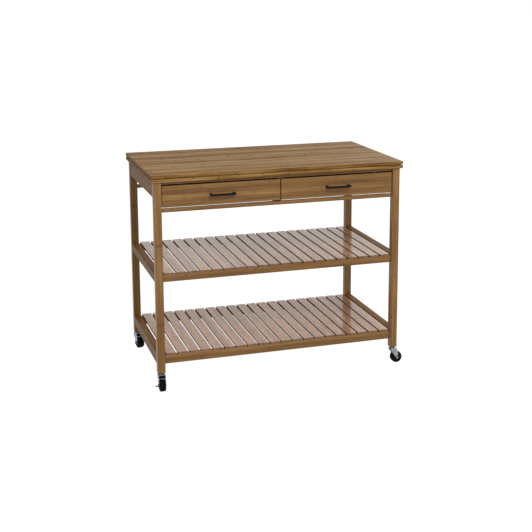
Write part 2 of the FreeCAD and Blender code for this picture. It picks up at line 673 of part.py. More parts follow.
def make_caster_lever(name, place, turn):
    """Side brake lever: an eye on the axle, an arm and a foot tab that is bent outwards."""
    lever = new_body(f"caster_{name}_brake_lever", place, turn)
    eye = draw_circle(new_sketch(lever, "XZ_Plane", ("0", "0", LEVER_FACE)), ("trail", "wheel_radius"),
                      "lever_eye_radius")
    add_pad(lever, eye, "lever_thick")
    tab_near = "(trail + lever_reach - lever_tab_width / 2)"
    tab_far = "(trail + lever_reach + lever_tab_width / 2)"
    tab_low = "(wheel_radius + lever_rise)"
    arm = new_sketch(lever, "XZ_Plane", ("0", "0", LEVER_FACE))
    draw_outline(arm, [("trail", "wheel_radius - lever_eye_radius / 2"), (tab_far, tab_low),
                       (tab_far, f"{tab_low} + lever_thick"), ("trail", "wheel_radius + lever_eye_radius")])
    add_pad(lever, arm, "lever_thick")
    tab = new_sketch(lever, "XZ_Plane", ("0", "0", LEVER_FACE))
    draw_box(tab, (tab_near, tab_low), (tab_far, f"{tab_low} + lever_thick"))
    add_pad(lever, tab, "lever_tab_length")
    drill(lever, "XZ_Plane", [("trail", "wheel_radius")], "axle_radius + running_clear", "lever_thick",
          f"{LEVER_FACE} + lever_thick")
    return lever


def make_caster(name, side_x, side_y):
    place = (f"{side_x} * {LEG_CENTRE_X}", f"{side_y} * {LEG_CENTRE_Y}", "0")
    turn = f"turn_{name}"
    makers = (make_caster_mount, make_caster_fork, make_caster_wheel, make_caster_axle, make_caster_lever)
    for maker in makers:
        keep(maker(name, place, turn))


# ---------------------------------------------------------------- the whole cart
make_top()
make_top_screws()
make_legs()
make_aprons()
make_drawer_bay()
make_runners()
make_drawer("left")
make_drawer("right")
make_shelf("middle", "middle_shelf_top", "middle_shelf_rail_height")
make_shelf("lower", "lower_shelf_top", "lower_shelf_rail_height")
make_caster("front_left", "-1", "-1")
make_caster("front_right", "1", "-1")
make_caster("back_left", "-1", "1")
make_caster("back_right", "1", "1")

doc.recompute()
for item in doc.Objects:
    if "Invalid" in item.State or "Error" in item.State:
        raise RuntimeError(f"{item.Label} failed: {item.State}")
for node in nodes:
    if node.Shape.isNull() or not node.Shape.isValid():
        raise RuntimeError(f"{node.Label} has no valid shape")

os.makedirs("parts", exist_ok=True)
for node in nodes:
    node.Shape.exportStep(os.path.join("parts", f"{node.Label}.step"))
print(len(nodes), "nodes written")
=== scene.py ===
"""Looks for a bamboo rolling utility cart: worktop, two drawers, slatted shelves and four braked casters.

Metres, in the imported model's own frame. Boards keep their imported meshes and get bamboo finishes;
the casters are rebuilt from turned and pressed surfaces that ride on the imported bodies.
"""
import math

import bpy
import numpy as np
from mathutils import Matrix, Vector


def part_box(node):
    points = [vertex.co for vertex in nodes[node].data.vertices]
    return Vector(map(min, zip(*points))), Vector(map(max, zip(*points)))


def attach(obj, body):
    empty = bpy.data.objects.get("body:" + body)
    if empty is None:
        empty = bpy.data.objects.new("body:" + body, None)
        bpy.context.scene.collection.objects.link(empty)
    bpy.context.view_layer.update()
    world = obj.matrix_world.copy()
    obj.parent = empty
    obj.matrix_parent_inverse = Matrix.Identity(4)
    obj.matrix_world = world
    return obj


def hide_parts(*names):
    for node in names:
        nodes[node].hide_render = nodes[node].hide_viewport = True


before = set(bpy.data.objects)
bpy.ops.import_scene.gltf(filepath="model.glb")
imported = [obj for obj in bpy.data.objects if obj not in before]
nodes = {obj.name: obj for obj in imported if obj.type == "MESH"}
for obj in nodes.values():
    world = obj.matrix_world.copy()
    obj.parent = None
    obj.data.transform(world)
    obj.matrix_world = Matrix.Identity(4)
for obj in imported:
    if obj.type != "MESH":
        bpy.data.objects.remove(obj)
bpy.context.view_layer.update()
MM = 0.001


# ---------------------------------------------------------------- shader building
def linear(hex_colour):
    """sRGB hex to linear RGBA: c / 12.92 below 0.04045, otherwise ((c + 0.055) / 1.055) ** 2.4."""
    srgb = np.array([int(hex_colour[i:i + 2], 16) for i in (1, 3, 5)]) / 255
    flat = np.where(srgb <= 0.04045, srgb / 12.92, ((srgb + 0.055) / 1.055) ** 2.4)
    return (*flat.tolist(), 1.0)


def add(tree, kind, links=None, **settings):
    """Add one shader node, set its attributes, and link or fill its inputs by name or number."""
    made = tree.nodes.new("ShaderNode" + kind)
    for name, value in settings.items():
        setattr(made, name, value)
    for key, value in (links or {}).items():
        if isinstance(value, bpy.types.NodeSocket):
            tree.links.new(value, made.inputs[key])
        else:
            made.inputs[key].default_value = value
    return made


def new_material(name):
    """An empty material and its node tree."""
    material = bpy.data.materials.new(name)
    material.use_nodes = True
    material.node_tree.nodes.clear()
    return material, material.node_tree


def finish_surface(tree, sockets):
    """Principled surface with the given inputs, wired to the output."""
    shader = add(tree, "BsdfPrincipled", sockets)
    add(tree, "OutputMaterial", {"Surface": shader.outputs[0]})


# ---------------------------------------------------------------- bamboo
GRAIN_TURN = {"x": (0, 0, 0), "y": (0, 0, -math.pi / 2), "z": (0, math.pi / 2, 0)}
GRAIN_AXIS = {"x": (1, 0, 0), "y": (0, 1, 0), "z": (0, 0, 1)}
SIDE_SHADE_SHARE = 0.92  # how far a slat's side face is painted over to the end tone, as painted shade in the gaps


def squareness(tree, axis):
    """How squarely a face looks along an axis: |normal . axis|."""
    normal = add(tree, "NewGeometry").outputs["Normal"]
    along = add(tree, "VectorMath", {0: normal, 1: axis}, operation="DOT_PRODUCT").outputs["Value"]
    return add(tree, "Math", {0: along}, operation="ABSOLUTE").outputs[0]


def bamboo(name, grain, tones, knuckle, end_and_shade_tone, strip=22 * MM, layer=7 * MM, shift=(0, 0, 0),
           knuckle_pitch=290 * MM, knuckle_reach=8 * MM, knuckle_depth=1.0,
           rough=0.4, gloss=0.5, coat=0.5, coat_rough=0.2,
           contrast=1.0, drift_run=3.2, side_axis=None):
    """Caramelised bamboo strips, pressed into a board and varnished.

    Along the grain runs u, across it v and w. Each strip is one cell of floor(v / strip), floor(w / layer)
    and has its own tone and its own place for the knuckles, which repeat along u.
    """
    material, tree = new_material(name)
    place = add(tree, "TexCoord").outputs["Object"]
    board = add(tree, "Mapping", {"Vector": place, "Rotation": GRAIN_TURN[grain], "Location": shift})
    axes = add(tree, "SeparateXYZ", {0: board.outputs[0]})
    u, v, w = axes.outputs
    row = add(tree, "Math", {0: v, 1: strip}, operation="DIVIDE").outputs[0]
    ply = add(tree, "Math", {0: w, 1: layer}, operation="DIVIDE").outputs[0]
    row_number = add(tree, "Math", {0: row}, operation="FLOOR").outputs[0]
    ply_number = add(tree, "Math", {0: ply}, operation="FLOOR").outputs[0]
    cell = add(tree, "CombineXYZ", {"X": row_number, "Y": ply_number, "Z": 3.7})
    lot = add(tree, "TexWhiteNoise", {"Vector": cell.outputs[0]}, noise_dimensions="3D")
    lots = add(tree, "SeparateColor", {0: lot.outputs["Color"]})

    # fibres are really 0.3 to 0.6 mm wide; drawn 3 mm wide, so that they still show from a few metres
    fibre_space = add(tree, "Mapping", {"Vector": board.outputs[0], "Scale": (5, 330, 330)})
    fibre = add(tree, "TexNoise", {"Vector": fibre_space.outputs[0], "Scale": 1.0, "Detail": 4.0,
                                   "Roughness": 0.6, "Distortion": 0.15})
    drift_space = add(tree, "Mapping", {"Vector": board.outputs[0], "Scale": (drift_run, 70, 70)})
    drift = add(tree, "TexNoise", {"Vector": drift_space.outputs[0], "Scale": 1.0, "Detail": 3.0,
                                   "Roughness": 0.5})
    strip_tone = add(tree, "Math", {0: lots.outputs[0], 1: 0.34 * contrast, 2: 0.5 - 0.17 * contrast},
                     operation="MULTIPLY_ADD").outputs[0]
    fibre_tone = add(tree, "Math", {0: fibre.outputs["Fac"], 1: 1.1 * contrast, 2: -0.55 * contrast},
                     operation="MULTIPLY_ADD").outputs[0]
    drift_tone = add(tree, "Math", {0: drift.outputs["Fac"], 1: 0.9 * contrast, 2: -0.45 * contrast},
                     operation="MULTIPLY_ADD").outputs[0]
    tone = add(tree, "Math", {0: strip_tone, 1: fibre_tone}, operation="ADD").outputs[0]
    tone = add(tree, "Math", {0: tone, 1: drift_tone}, operation="ADD").outputs[0]
    ramp = add(tree, "ValToRGB", {"Fac": tone})
    ramp.color_ramp.elements.remove(ramp.color_ramp.elements[1])
    for number, (stop, colour) in enumerate(zip(np.linspace(0.05, 0.95, len(tones)), tones)):
        element = ramp.color_ramp.elements[0] if number == 0 else ramp.color_ramp.elements.new(stop)
        element.position = stop
        element.color = linear(colour)

    # knuckles: distance along the strip to the nearest one, wavy by a millimetre or two
    wave = add(tree, "Math", {0: drift.outputs["Fac"], 1: 14 * MM}, operation="MULTIPLY").outputs[0]
    run = add(tree, "Math", {0: u, 1: wave}, operation="ADD").outputs[0]
    run = add(tree, "Math", {0: run, 1: 1 / knuckle_pitch}, operation="MULTIPLY").outputs[0]
    run = add(tree, "Math", {0: lots.outputs[1], 1: 17.0, 2: run}, operation="MULTIPLY_ADD").outputs[0]
    run = add(tree, "Math", {0: run}, operation="FRACT").outputs[0]
    run = add(tree, "Math", {0: run, 1: 0.5}, operation="SUBTRACT").outputs[0]
    away = add(tree, "Math", {0: run}, operation="ABSOLUTE").outputs[0]
    ring = add(tree, "MapRange", {"Value": away, "From Min": 1.0 * MM / knuckle_pitch,
                                  "From Max": knuckle_reach / knuckle_pitch, "To Min": 1.0, "To Max": 0.0},
               interpolation_type="SMOOTHERSTEP").outputs[0]
    strength = add(tree, "Math", {0: lots.outputs[2], 1: 0.5 * knuckle_depth, 2: 0.25 * knuckle_depth},
                   operation="MULTIPLY_ADD").outputs[0]
    ring_tone = add(tree, "Math", {0: ring, 1: strength}, operation="MULTIPLY").outputs[0]
    colour = add(tree, "MixRGB", {"Fac": ring_tone, "Color1": ramp.outputs[0], "Color2": linear(knuckle)})

    # glue lines between strips, drawn a millimetre wide so that they show
    wide = row if strip >= layer else ply
    edge = add(tree, "Math", {0: wide}, operation="FRACT").outputs[0]
    edge = add(tree, "Math", {0: edge, 1: 0.5}, operation="SUBTRACT").outputs[0]
    edge = add(tree, "Math", {0: edge}, operation="ABSOLUTE").outputs[0]
    seam = add(tree, "MapRange", {"Value": edge, "From Min": 0.5 - 0.9 * MM / max(strip, layer),
                                  "From Max": 0.5,
                                  "To Min": 0.0, "To Max": 0.28}).outputs[0]
    colour = add(tree, "MixRGB", {"Fac": seam, "Color1": colour.outputs[0], "Color2": linear(knuckle)})

    # cut ends show the fibres head-on, darker and drier than the faces
    cut = add(tree, "MapRange", {"Value": squareness(tree, GRAIN_AXIS[grain]), "From Min": 0.6,
                                 "From Max": 0.9, "To Max": 0.55}).outputs[0]
    colour = add(tree, "MixRGB", {"Fac": cut, "Color1": colour.outputs[0], "Color2": linear(end_and_shade_tone)})

    if side_axis:
        # painted shade: the slats' side faces go over to the dark end tone, standing for the shade in the gaps
        # between slats, and their coat fades out
        side_shade = add(tree, "MapRange", {"Value": squareness(tree, side_axis), "From Min": 0.75,
                                      "From Max": 0.98,
                                      "To Max": SIDE_SHADE_SHARE}).outputs[0]
        colour = add(tree, "MixRGB", {"Fac": side_shade, "Color1": colour.outputs[0], "Color2": linear(end_and_shade_tone)})
        coat = add(tree, "Math", {0: side_shade, 1: -coat / SIDE_SHADE_SHARE, 2: coat},
                   operation="MULTIPLY_ADD").outputs[0]

    height = add(tree, "Math", {0: ring, 1: 0.6, 2: fibre.outputs["Fac"]},
                 operation="MULTIPLY_ADD").outputs[0]
    height = add(tree, "Math", {0: seam, 1: -1.5, 2: height}, operation="MULTIPLY_ADD").outputs[0]
    bump = add(tree, "Bump", {"Height": height, "Strength": 0.35, "Distance": 0.25 * MM})
    roughness = add(tree, "Math", {0: fibre.outputs["Fac"], 1: 0.16, 2: rough - 0.08},
                    operation="MULTIPLY_ADD")
    finish_surface(tree, {"Base Color": colour.outputs[0], "Roughness": roughness.outputs[0],
                          "Normal": bump.outputs[0], "IOR": 1.5, "Specular IOR Level": gloss,
                          "Coat Weight": coat,
                          "Coat Roughness": coat_rough, "Coat IOR": 1.5})
    return material


# caramelised bamboo, planed and given a satin varnish: warm brown strips with a soft gleam
WORKTOP_TONES = ("#6A4720", "#8E6834", "#A07A45", "#B58F5C")
FRAME_TONES = ("#6B4820", "#825C2E", "#906838", "#A37B4A")
SLAT_TONES = ("#8A5A33", "#AD7A4C", "#C69369", "#D8A981")
PANEL_TONES = ("#8E7048", "#A5865C", "#B2946A", "#C2A67E")

worktop_bamboo = bamboo("bamboo_worktop_satin_varnish", "x", WORKTOP_TONES, "#53361A", "#5E4527",
                        shift=(0, 0.011, 0.004), rough=0.55, gloss=0.08, coat=0.0, coat_rough=0.35,
                        contrast=2.3,
                        knuckle_reach=9 * MM, knuckle_depth=0.95)
rail_bamboo = bamboo("bamboo_rail_varnished", "x", FRAME_TONES, "#4C3218", "#5E4527",
                     strip=8 * MM, layer=20 * MM, shift=(0.37, 0.009, 0.006), gloss=0.36, coat=0.05,
                     coat_rough=0.25,
                     knuckle_depth=0.5, contrast=1.35)
side_bamboo = bamboo("bamboo_side_rail_varnished", "y", FRAME_TONES, "#4C3218", "#5E4527",
                     strip=8 * MM, layer=20 * MM, shift=(0.11, 0.005, 0.013), gloss=0.02, coat=0.0,
                     coat_rough=0.2,
                     knuckle_depth=0.5, contrast=1.3)
leg_bamboo = bamboo("bamboo_leg_varnished", "z", FRAME_TONES, "#4C3218", "#5E4527",
                    strip=40 * MM, layer=40 * MM, shift=(0.2, 0.004, 0.026), gloss=0.32, coat=0.04,
                    coat_rough=0.22,
                    knuckle_pitch=330 * MM, knuckle_reach=9 * MM, knuckle_depth=0.8, contrast=1.5)
# the slats' sides are painted over to the dark #38230F as painted shade in the gaps between slats; the same
# tone darkens their cut ends
slat_bamboo = bamboo("bamboo_slat_gloss_varnish", "y", SLAT_TONES, "#5B3A20", "#38230F",
                     strip=24.8 * MM, layer=8 * MM, shift=(0.05, 0, 0.001), rough=0.34, gloss=0.06, coat=0.8,
                     coat_rough=0.12, contrast=1.15, drift_run=9.0, side_axis=(1, 0, 0))
panel_bamboo = bamboo("bamboo_ply_light_varnish", "x", PANEL_TONES, "#7A5C38", "#8C6F4A",
                      strip=30 * MM, shift=(0.6, 0.01, 0.003), coat=0.1, contrast=0.7)


# ---------------------------------------------------------------- metal and plastic
def speckled(name, low, high, grain, spread, metallic=0.0, rough=(0.4, 0.5), bump=0.05, stretch=(1, 1, 1),
             **fixed):
    """A fine two-tone finish: noise with features one grain apart drives tone, roughness and relief."""
    material, tree = new_material(name)
    place = add(tree, "TexCoord").outputs["Object"]
    space = add(tree, "Mapping", {"Vector": place, "Scale": stretch})
    fine = add(tree, "TexNoise", {"Vector": space.outputs[0], "Scale": 1 / grain, "Detail": 3.0,
                                  "Roughness": 0.6})
    cloud = add(tree, "TexNoise", {"Vector": place, "Scale": 1 / spread, "Detail": 2.0})
    mixed = add(tree, "Math", {0: fine.outputs["Fac"], 1: cloud.outputs["Fac"]}, operation="MULTIPLY")
    share = add(tree, "MapRange", {"Value": mixed.outputs[0], "From Min": 0.12, "From Max": 0.4})
    colour = add(tree, "MixRGB", {"Fac": share.outputs[0], "Color1": linear(low), "Color2": linear(high)})
    roughness = add(tree, "MapRange", {"Value": fine.outputs["Fac"], "From Min": 0.3, "From Max": 0.7,
                                       "To Min": rough[0], "To Max": rough[1]})
    relief = add(tree, "Bump", {"Height": fine.outputs["Fac"], "Strength": 0.4, "Distance": bump * MM})
    finish_surface(tree, {"Base Color": colour.outputs[0], "Roughness": roughness.outputs[0],
                          "Normal": relief.outputs[0], "Metallic": metallic, **fixed})
    return material


# mild steel bar, powder coated: a fine orange peel that keeps highlights broad and dull
powder_coat = speckled("steel_matt_black_powder_coat", "#08080A", "#131315", 1.2 * MM, 15 * MM, rough=(0.42,
                                                                                                       0.58),
                       bump=0.12, IOR=1.5, **{"Specular IOR Level": 0.14})
# turned steel, black oxide: almost black, with a faint oily shine
black_oxide = speckled("steel_black_oxide_turned", "#0C0C0D", "#1A1A1B", 0.8 * MM, 8 * MM, rough=(0.4, 0.55),
                       IOR=1.5,
                       **{"Specular IOR Level": 0.1})
# pressed sheet steel, bright zinc plate: cool silver with soft cloudy spangle
bright_zinc = speckled("steel_bright_zinc_plate_pressed", "#767B82", "#A8AEB6", 1.5 * MM, 9 * MM,
                       metallic=1.0,
                       rough=(0.22, 0.36), bump=0.03)
# pressed sheet steel, dull zinc: the brake levers, greyer and rougher; also put on the fork's inner faces,
# where it is painted shade
dull_zinc_and_fork_shade = speckled("steel_dull_zinc_pressed_and_fork_shade", "#2E3032", "#4E5054", 1.2 * MM, 6 * MM, metallic=1.0,
                     rough=(0.35, 0.5), bump=0.04)
# cold-headed screws, zinc plate
screw_zinc = speckled("steel_zinc_screw_headed", "#8F9294", "#C2C4C6", 0.6 * MM, 3 * MM, metallic=1.0,
                      rough=(0.25, 0.4))
# moulded thermoplastic rubber: black tread, dull, with a slight bloom
black_rubber = speckled("rubber_black_moulded_tread", "#040405", "#0D0D0E", 0.9 * MM, 7 * MM, rough=(0.55,
                                                                                                     0.75),
                        bump=0.1, IOR=1.5, **{"Specular IOR Level": 0.06})
# injection-moulded polypropylene: the wheel's black core, smoother than the tread
black_core = speckled("polypropylene_black_moulded_core", "#0D0D0F", "#1A1A1C", 1.0 * MM, 9 * MM,
                      rough=(0.35, 0.48),
                      IOR=1.49, **{"Specular IOR Level": 0.1})


def dress(material, *names):
    """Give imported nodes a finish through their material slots."""
    for name in names:
        holder = nodes[name]
        for slot in holder.material_slots:
            slot.link = "OBJECT"
            slot.material = material


SIDES = ("left", "right")
dress(worktop_bamboo, "top_upper_board", "top_lower_board")
dress(rail_bamboo, "apron_back", "rail_front_upper", "rail_front_lower", "rail_back_lower",
      *(f"shelf_{level}_{place}_rail" for level in ("middle", "lower") for place in ("front", "back")),
      *(f"drawer_{side}_{piece}" for side in SIDES for piece in ("front", "back")))
dress(side_bamboo, "apron_left", "apron_right", "drawer_divider", "drawer_runners",
      *(f"shelf_{level}_{side}_rail" for level in ("middle", "lower") for side in SIDES),
      *(f"drawer_{side}_{piece}_side" for side in SIDES for piece in ("outer", "inner")))
dress(leg_bamboo, *(f"leg_{place}_{side}" for place in ("front", "back") for side in SIDES))
dress(slat_bamboo, "shelf_middle_slats", "shelf_lower_slats")
dress(panel_bamboo, *(f"drawer_{side}_bottom" for side in SIDES))
dress(powder_coat, *(f"drawer_{side}_handle" for side in SIDES))
dress(screw_zinc, "top_screws", *(f"drawer_{side}_handle_screws" for side in SIDES))


# ---------------------------------------------------------------- surfaces
def surface(name, grid, material, wrap_first=False, wrap_second=False, smooth=True):
    """A mesh from a grid of points (first, second, xyz): one quad between each point and its neighbours.

    Coincident points at seams and poles are merged. Faces keep the grid's own winding: outward() turns a closed
    mesh's faces out.
    """
    rows, columns = grid.shape[:2]
    first = np.arange(rows if wrap_first else rows - 1)[:, None]
    second = np.arange(columns if wrap_second else columns - 1)[None, :]
    next_first = (first + 1) % rows
    next_second = (second + 1) % columns
    quads = np.stack([first * columns + second, next_first * columns + second,
                      next_first * columns + next_second, first * columns + next_second], axis=-1)
    quads = quads.reshape(-1, 4)
    points = grid.reshape(-1, 3)
    rounded = np.round(points, 7)
    kept, where = np.unique(rounded, axis=0, return_inverse=True)
    quads = where.reshape(-1)[quads]
    mesh = bpy.data.meshes.new(name)
    faces = [tuple(dict.fromkeys(quad)) for quad in quads.tolist()]
    mesh.from_pydata(kept, [], [face for face in faces if len(face) > 2])
    mesh.validate()
    holder = bpy.data.objects.new(name, mesh)
    bpy.context.scene.collection.objects.link(holder)
    mesh.materials.append(material)
    mesh.polygons.foreach_set("use_smooth", np.full(len(mesh.polygons), smooth))
    return holder


def thicken(holder, thick, bevel, inner_shade=None):
    """Give a sheet its wall, inwards, soften its cut edges, and paint its inner face with the given material,
    as painted shade.
    """
    if thick:
        wall = holder.modifiers.new("wall", "SOLIDIFY")
        wall.thickness = thick
        wall.offset = -1
        if inner_shade:
            holder.data.materials.append(inner_shade)
            wall.material_offset = 1
    if bevel:
        soft = holder.modifiers.new("eased", "BEVEL")
        soft.width = bevel
        soft.segments = 2
        soft.limit_method = "ANGLE"
        soft.angle_limit = math.radians(40)
    return holder


def outward(holder):
    """Turn a closed mesh's faces outwards: the signed volume, summed over face fans, must be positive."""
    mesh = holder.data
    mesh.calc_loop_triangles()
    points = np.empty(len(mesh.vertices) * 3)
    mesh.vertices.foreach_get("co", points)
    corners = np.empty(len(mesh.loop_triangles) * 3, dtype=np.int32)
    mesh.loop_triangles.foreach_get("vertices", corners)
    a, b, c = points.reshape(-1, 3)[corners].reshape(-1, 3, 3).transpose(1, 0, 2)
    if np.einsum("ij,ij->", a, np.cross(b, c)) < 0:
        mesh.flip_normals()
    return holder


def eased(corners, reach, steps=5, closed=True):
    """A polyline with every corner replaced by a quadratic curve that starts and ends reach away from it.

    Point = (1 - t)^2 start + 2 t (1 - t) corner + t^2 end, for t from 0 to 1.
    """
    corner = np.asarray(corners, dtype=float)
    reach = np.broadcast_to(np.asarray(reach, dtype=float), len(corner))[:, None]
    before = np.roll(corner, 1, axis=0) - corner
    after = np.roll(corner, -1, axis=0) - corner
    if not closed:
        before[0] = after[-1] = 0
    length_before = np.linalg.norm(before, axis=1, keepdims=True)
    length_after = np.linalg.norm(after, axis=1, keepdims=True)
    start = corner + before / np.maximum(length_before, 1e-9) * np.minimum(reach, length_before * 0.49)
    end = corner + after / np.maximum(length_after, 1e-9) * np.minimum(reach, length_after * 0.49)
    t = np.linspace(0, 1, steps)[None, :, None]
    curve = (1 - t) ** 2 * start[:, None] + 2 * t * (1 - t) * corner[:, None] + t ** 2 * end[:, None]
    return curve.reshape(-1, 2)


def place_grid(grid, spot, turn):
    """Turn a grid about Z by turn degrees and carry it to its spot: the piece's place is in its mesh."""
    angle = math.radians(turn)
    spin = np.array([[math.cos(angle), math.sin(angle), 0], [-math.sin(angle), math.cos(angle), 0], [0, 0,
                                                                                                     1]])
    return grid @ spin + np.asarray(spot)


def turned(name, profile, material, axle=False, centre=(0, 0, 0), spot=(0, 0, 0), turn=0, steps=64):
    """A closed profile of (radius, station) carried round an axis: upright, or along local Y for an axle.

    Across = radius cos(angle), other = radius sin(angle), along = station.
    """
    radius, station = np.asarray(profile, dtype=float).T
    angle = np.linspace(0, 2 * math.pi, steps, endpoint=False)[:, None]
    reach = radius[None, :] * np.ones_like(angle)
    across, other = reach * np.cos(angle), reach * np.sin(angle)
    along = station[None, :] * np.ones_like(angle)
    grid = np.stack([across, along, other] if axle else [across, other, along], axis=-1) + np.asarray(centre)
    return outward(surface(name, place_grid(grid, spot, turn), material, True, True))


# ---------------------------------------------------------------- casters
# mm, in a caster's own frame: swivel axis upright through the origin, floor at 0
AXLE_X, AXLE_Z = 18.0, 25.0
AXLE_PLACE = (AXLE_X * MM, 0, AXLE_Z * MM)
FORK_HALF, FORK_FOOT, HOOD_TOP, HOOD_BEND = 15.6, 18.5, 68.7, 4.4
EYE_RADIUS = 6.5  # round of the fork's cheek about the axle
CHEEK_TOP = 60.4  # where the taper ends under the hood
FORK_WALL = 1.8 * MM
SHOE_REACH = 26.8  # from the axle to the brake shoe's hollow
CASTERS = {"front_left": ("leg_front_left", -90), "front_right": ("leg_front_right", 0),
           "back_left": ("leg_back_left", -72), "back_right": ("leg_back_right", 78)}

# radius and station across, in mm, from the bore round one face, over the tread and back
TYRE_PROFILE = [(18.4, -11.0), (19.4, -11.9), (22.0, -12.0), (24.1, -10.8), (25.0, -7.0), (25.0, 7.0),
                (24.1, 10.8), (22.0, 12.0), (19.4, 11.9), (18.4, 11.0)]
CORE_PROFILE = [(3.05, -13.5), (7.2, -13.5), (8.4, -12.7), (9.2, -6.4), (11.0, -5.6), (15.4, -5.6), (17.2,
                                                                                                     -7.6),
                (17.8, -10.8), (18.6, -10.9), (18.6, 10.9), (17.8, 10.8), (17.2, 7.6), (15.4, 5.6), (11.0,
                                                                                                     5.6),
                (9.2, 6.4), (8.4, 12.7), (7.2, 13.5), (3.05, 13.5)]
COLLAR_PROFILE = [(4.1, 71.0), (10.6, 71.0), (12.0, 71.9), (12.0, 74.0), (11.2, 75.0), (4.1, 75.0)]
RACE_PROFILE = [(5.05, 66.95), (10.4, 66.95), (11.0, 68.9), (10.9, 69.9), (9.6, 70.7), (5.05, 70.7)]


def half_width(z):
    """Front and back edge of the fork at a height in mm: round the axle below, tapering out up to the hood."""
    low = np.sqrt(np.maximum(0.0, EYE_RADIUS ** 2 - (AXLE_Z - np.minimum(z, AXLE_Z)) ** 2))
    rise = np.clip((z - AXLE_Z) / (CHEEK_TOP - AXLE_Z), 0, 1)
    nose = np.where(z <= AXLE_Z, AXLE_X - low, 11.5 + (-12 - 11.5) * (rise ** 1.15))
    fall = np.clip((z - 31.5) / (CHEEK_TOP - 31.5), 0, 1)
    tail = np.where(z <= AXLE_Z, AXLE_X + low, 24.5 + (18 - 24.5) * fall)
    return nose, tail


def fork_sheet(name, spot, turn):
    """A pressed fork: s runs up one cheek, over the hood and down the other; t runs from nose to tail."""
    corners = [(-FORK_HALF, FORK_FOOT), (-FORK_HALF, HOOD_TOP), (FORK_HALF, HOOD_TOP), (FORK_HALF, FORK_FOOT)]
    section = eased(corners, [0, HOOD_BEND, HOOD_BEND, 0], 9, closed=False)
    section = section[np.r_[True, np.linalg.norm(np.diff(section, axis=0), axis=1) > 1e-6]]
    stretch = np.r_[0, np.cumsum(np.linalg.norm(np.diff(section, axis=0), axis=1))]
    wanted = np.linspace(0, stretch[-1], 121)
    y, z = (np.interp(wanted, stretch, section[:, column])[:, None] for column in (0, 1))
    nose, tail = half_width(z)
    t = np.linspace(0, 1, 25)[None, :]
    bow = 2.6 * (np.abs(y) / FORK_HALF) ** 2.4 * np.clip((z - 58) / 8, 0, 1)
    x = (nose + bow) + t * (tail - bow * 0.6 - nose - bow)
    grid = np.stack([x, y + 0 * t, z + 0 * t], axis=-1) * MM
    holder = surface(name, place_grid(grid, spot, turn), bright_zinc)
    face = holder.data.polygons[len(holder.data.polygons) // 2]
    if face.normal.z < 0:
        holder.data.flip_normals()
    # the inner faces take the darker dull zinc: painted shade inside the fork, which is bright zinc all through
    return thicken(holder, FORK_WALL, 0.35 * MM, dull_zinc_and_fork_shade)


def plate(name, outline, station, thick, spot, turn, material, bevel=0.4 * MM):
    """A flat plate in a plane square to local Y: rings shrink from the outline to its middle, on both faces."""
    ring = np.asarray(outline, dtype=float)
    middle = ring.mean(axis=0)
    shares = np.array([0.0, 0.5, 1.0, 1.0, 0.5, 0.0])[:, None, None]
    flat = middle + shares * (ring - middle)[None]
    level = np.array([station] * 3 + [station - thick] * 3)[:, None] * np.ones(len(ring))
    grid = np.stack([flat[..., 0], level, flat[..., 1]], axis=-1) * MM
    holder = outward(surface(name, place_grid(grid, spot, turn), material, False, True, smooth=False))
    return thicken(holder, 0, bevel)


def lever_outline():
    """Side view of a brake lever: an eye round the axle that runs out into an arm."""
    angle = np.radians(np.linspace(100, 300, 26))
    eye = np.stack([AXLE_X + 7 * np.cos(angle), AXLE_Z + 7 * np.sin(angle)], axis=1)
    arm = eased([(24.5, 21.8), (35, 27.4), (35, 29.6), (26, 30.2), (20.5, 32)], 1.4, 4, closed=False)
    return np.concatenate([eye, arm])


def lever_tab(name, spot, turn):
    """The foot pad: a strip bent outwards from the arm, with a lip at its end and three pressed ribs.

    s runs out along local -Y, t along local X; height = base + rib waves near the tip + lip.
    """
    s = np.linspace(0, 1, 33)[:, None]
    t = np.linspace(-1, 1, 15)[None, :]
    y = -16.1 - 15.6 * s
    width = 5.0 * np.sqrt(np.clip(1 - np.clip((s - 0.8) / 0.2, 0, 1) ** 2 * 0.55, 0.05, 1))
    x = 30 + width * t
    ribs = 0.22 * np.cos(2 * math.pi * 5 * s) * (np.abs(t) < 0.8) * ((s > 0.3) & (s < 0.9))
    z = 29.2 + ribs - 0.9 * np.clip((s - 0.85) / 0.15, 0, 1) ** 2
    grid = np.stack([x, y + 0 * t, z + 0 * x], axis=-1) * MM
    holder = surface(name, place_grid(grid, spot, turn), dull_zinc_and_fork_shade)
    if holder.data.polygons[0].normal.z < 0:
        holder.data.flip_normals()
    return thicken(holder, 1.2 * MM, 0.3 * MM)


def nose_plug(name, spot, turn):
    """A small black stop on the hood's nose: a low dome of (radius, station), turned about local Z."""
    dome = [(0.0, 61.2), (3.2, 61.2), (4.0, 62.2), (4.0, 66.4), (3.2, 67.0), (0.0, 67.0)]
    profile = eased(dome, 0.5, 4) * MM
    profile[:, 0] = np.maximum(profile[:, 0], 0)
    return turned(name, profile, black_rubber, centre=(-7.4 * MM, 0, 0), spot=spot, turn=turn, steps=36)


def brake_shoe(name, spot, turn):
    """The black block under the hood: side outline, hollowed along an arc about the axle."""
    angle = np.radians(np.linspace(131, 92, 9))
    arc = np.stack([AXLE_X + SHOE_REACH * np.cos(angle), AXLE_Z + SHOE_REACH * np.sin(angle)], axis=1)
    back = [(16.6, 60.0), (14.0, 65.6), (2.0, 65.6), (-9.6, 65.6), (-10.2, 61.5), (-6.6, 55.2), (-2.4, 49.2)]
    return plate(name, np.concatenate([arc, back]), 12.6, 25.2, spot, turn, black_rubber, bevel=0.6 * MM)


def domed_pin(name, spot, turn):
    """The axle: a pin with a domed rivet head at each end, turned about local Y."""
    dome = [(0, -19.3), (2.0, -19.2), (3.8, -18.6), (4.6, -17.9), (3.0, -17.8)]
    back = [(3.0, 15.65), (4.6, 15.7), (3.8, 16.5), (2.0, 17.0), (0, 17.1)]
    profile = np.array(dome + back) * MM
    return turned(name, profile, bright_zinc, True, AXLE_PLACE, spot, turn, 40)


